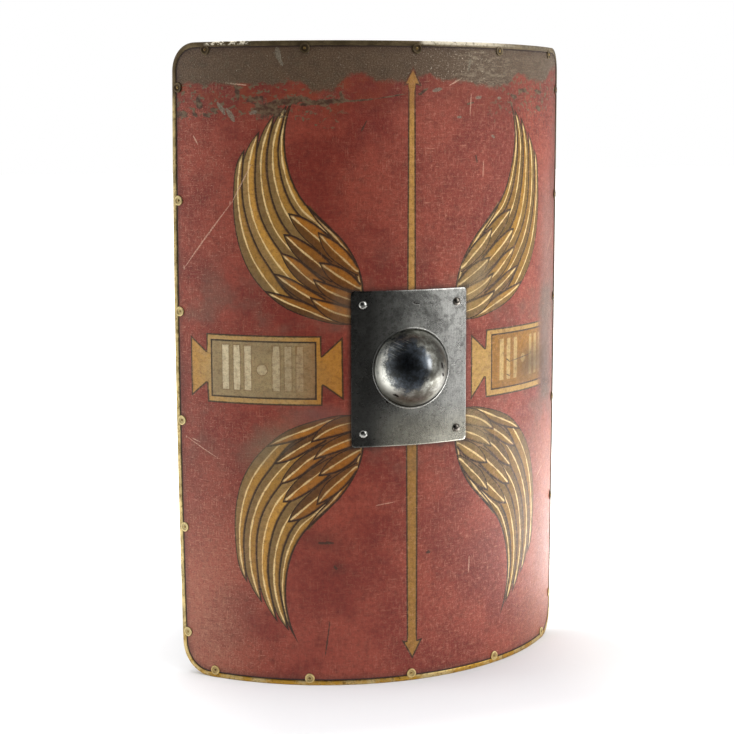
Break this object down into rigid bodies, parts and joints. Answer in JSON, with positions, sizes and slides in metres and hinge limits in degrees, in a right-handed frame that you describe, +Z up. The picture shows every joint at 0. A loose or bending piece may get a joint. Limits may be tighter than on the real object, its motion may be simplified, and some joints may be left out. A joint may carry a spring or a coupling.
{
  "type": "roman scutum shield",
  "caption": "Tall curved legionary shield: painted linen over bent wood, a domed iron boss, a nailed brass edging and a grip across the hand hole.",
  "frame": {"origin": "the middle of the shield's box at the height of its lower edge, on the surface it stands on", "axes": "+Z up along the shield's height; +Y towards the bearer, away from the painted face; +X to the right as seen from the painted face"},
  "size_m": [0.6904, 0.2382, 1.04],
  "materials": {
    "bent_wood": "bare bent wood, darkened and dusty",
    "painted_linen": "worn brick-red paint on linen, with ochre wings, arrow and tablets, dark at the top edge",
    "iron": "dull rubbed iron, polished on the dome and pitted dark in places",
    "brass": "aged brass, bright at the sides and foot, tarnished brown at the top",
    "grip_wood": "hand-worn dark wood"
  },
  "bodies": {
    "root": {"board": "bent_wood", "painted_facing": "painted_linen", "boss": "iron", "boss_rivet_top_left": "iron", "boss_rivet_top_right": "iron", "boss_rivet_bottom_left": "iron", "boss_rivet_bottom_right": "iron", "edging_top_left_corner": "brass", "edging_top_left": "brass", "edging_top_right": "brass", "edging_top_right_corner": "brass", "edging_left": "brass", "edging_right": "brass", "edging_bottom_left_corner": "brass", "edging_bottom_left": "brass", "edging_bottom_right": "brass", "edging_bottom_right_corner": "brass", "edging_nail_left_1": "brass", "edging_nail_left_2": "brass", "edging_nail_left_3": "brass", "edging_nail_left_4": "brass", "edging_nail_left_5": "brass", "edging_nail_left_6": "brass", "edging_nail_right_1": "brass", "edging_nail_right_2": "brass", "edging_nail_right_3": "brass", "edging_nail_right_4": "brass", "edging_nail_right_5": "brass", "edging_nail_right_6": "brass", "edging_nail_bottom_1": "brass", "edging_nail_bottom_2": "brass", "edging_nail_bottom_3": "brass", "edging_nail_bottom_4": "brass", "edging_nail_bottom_5": "brass", "edging_nail_top_1": "brass", "edging_nail_top_2": "brass", "edging_nail_top_3": "brass", "edging_nail_top_4": "brass", "edging_nail_top_5": "brass", "grip": "grip_wood", "grip_nail_left_upper": "iron", "grip_nail_left_lower": "iron", "grip_nail_right_upper": "iron", "grip_nail_right_lower": "iron"}
  },
  "joints": []
}
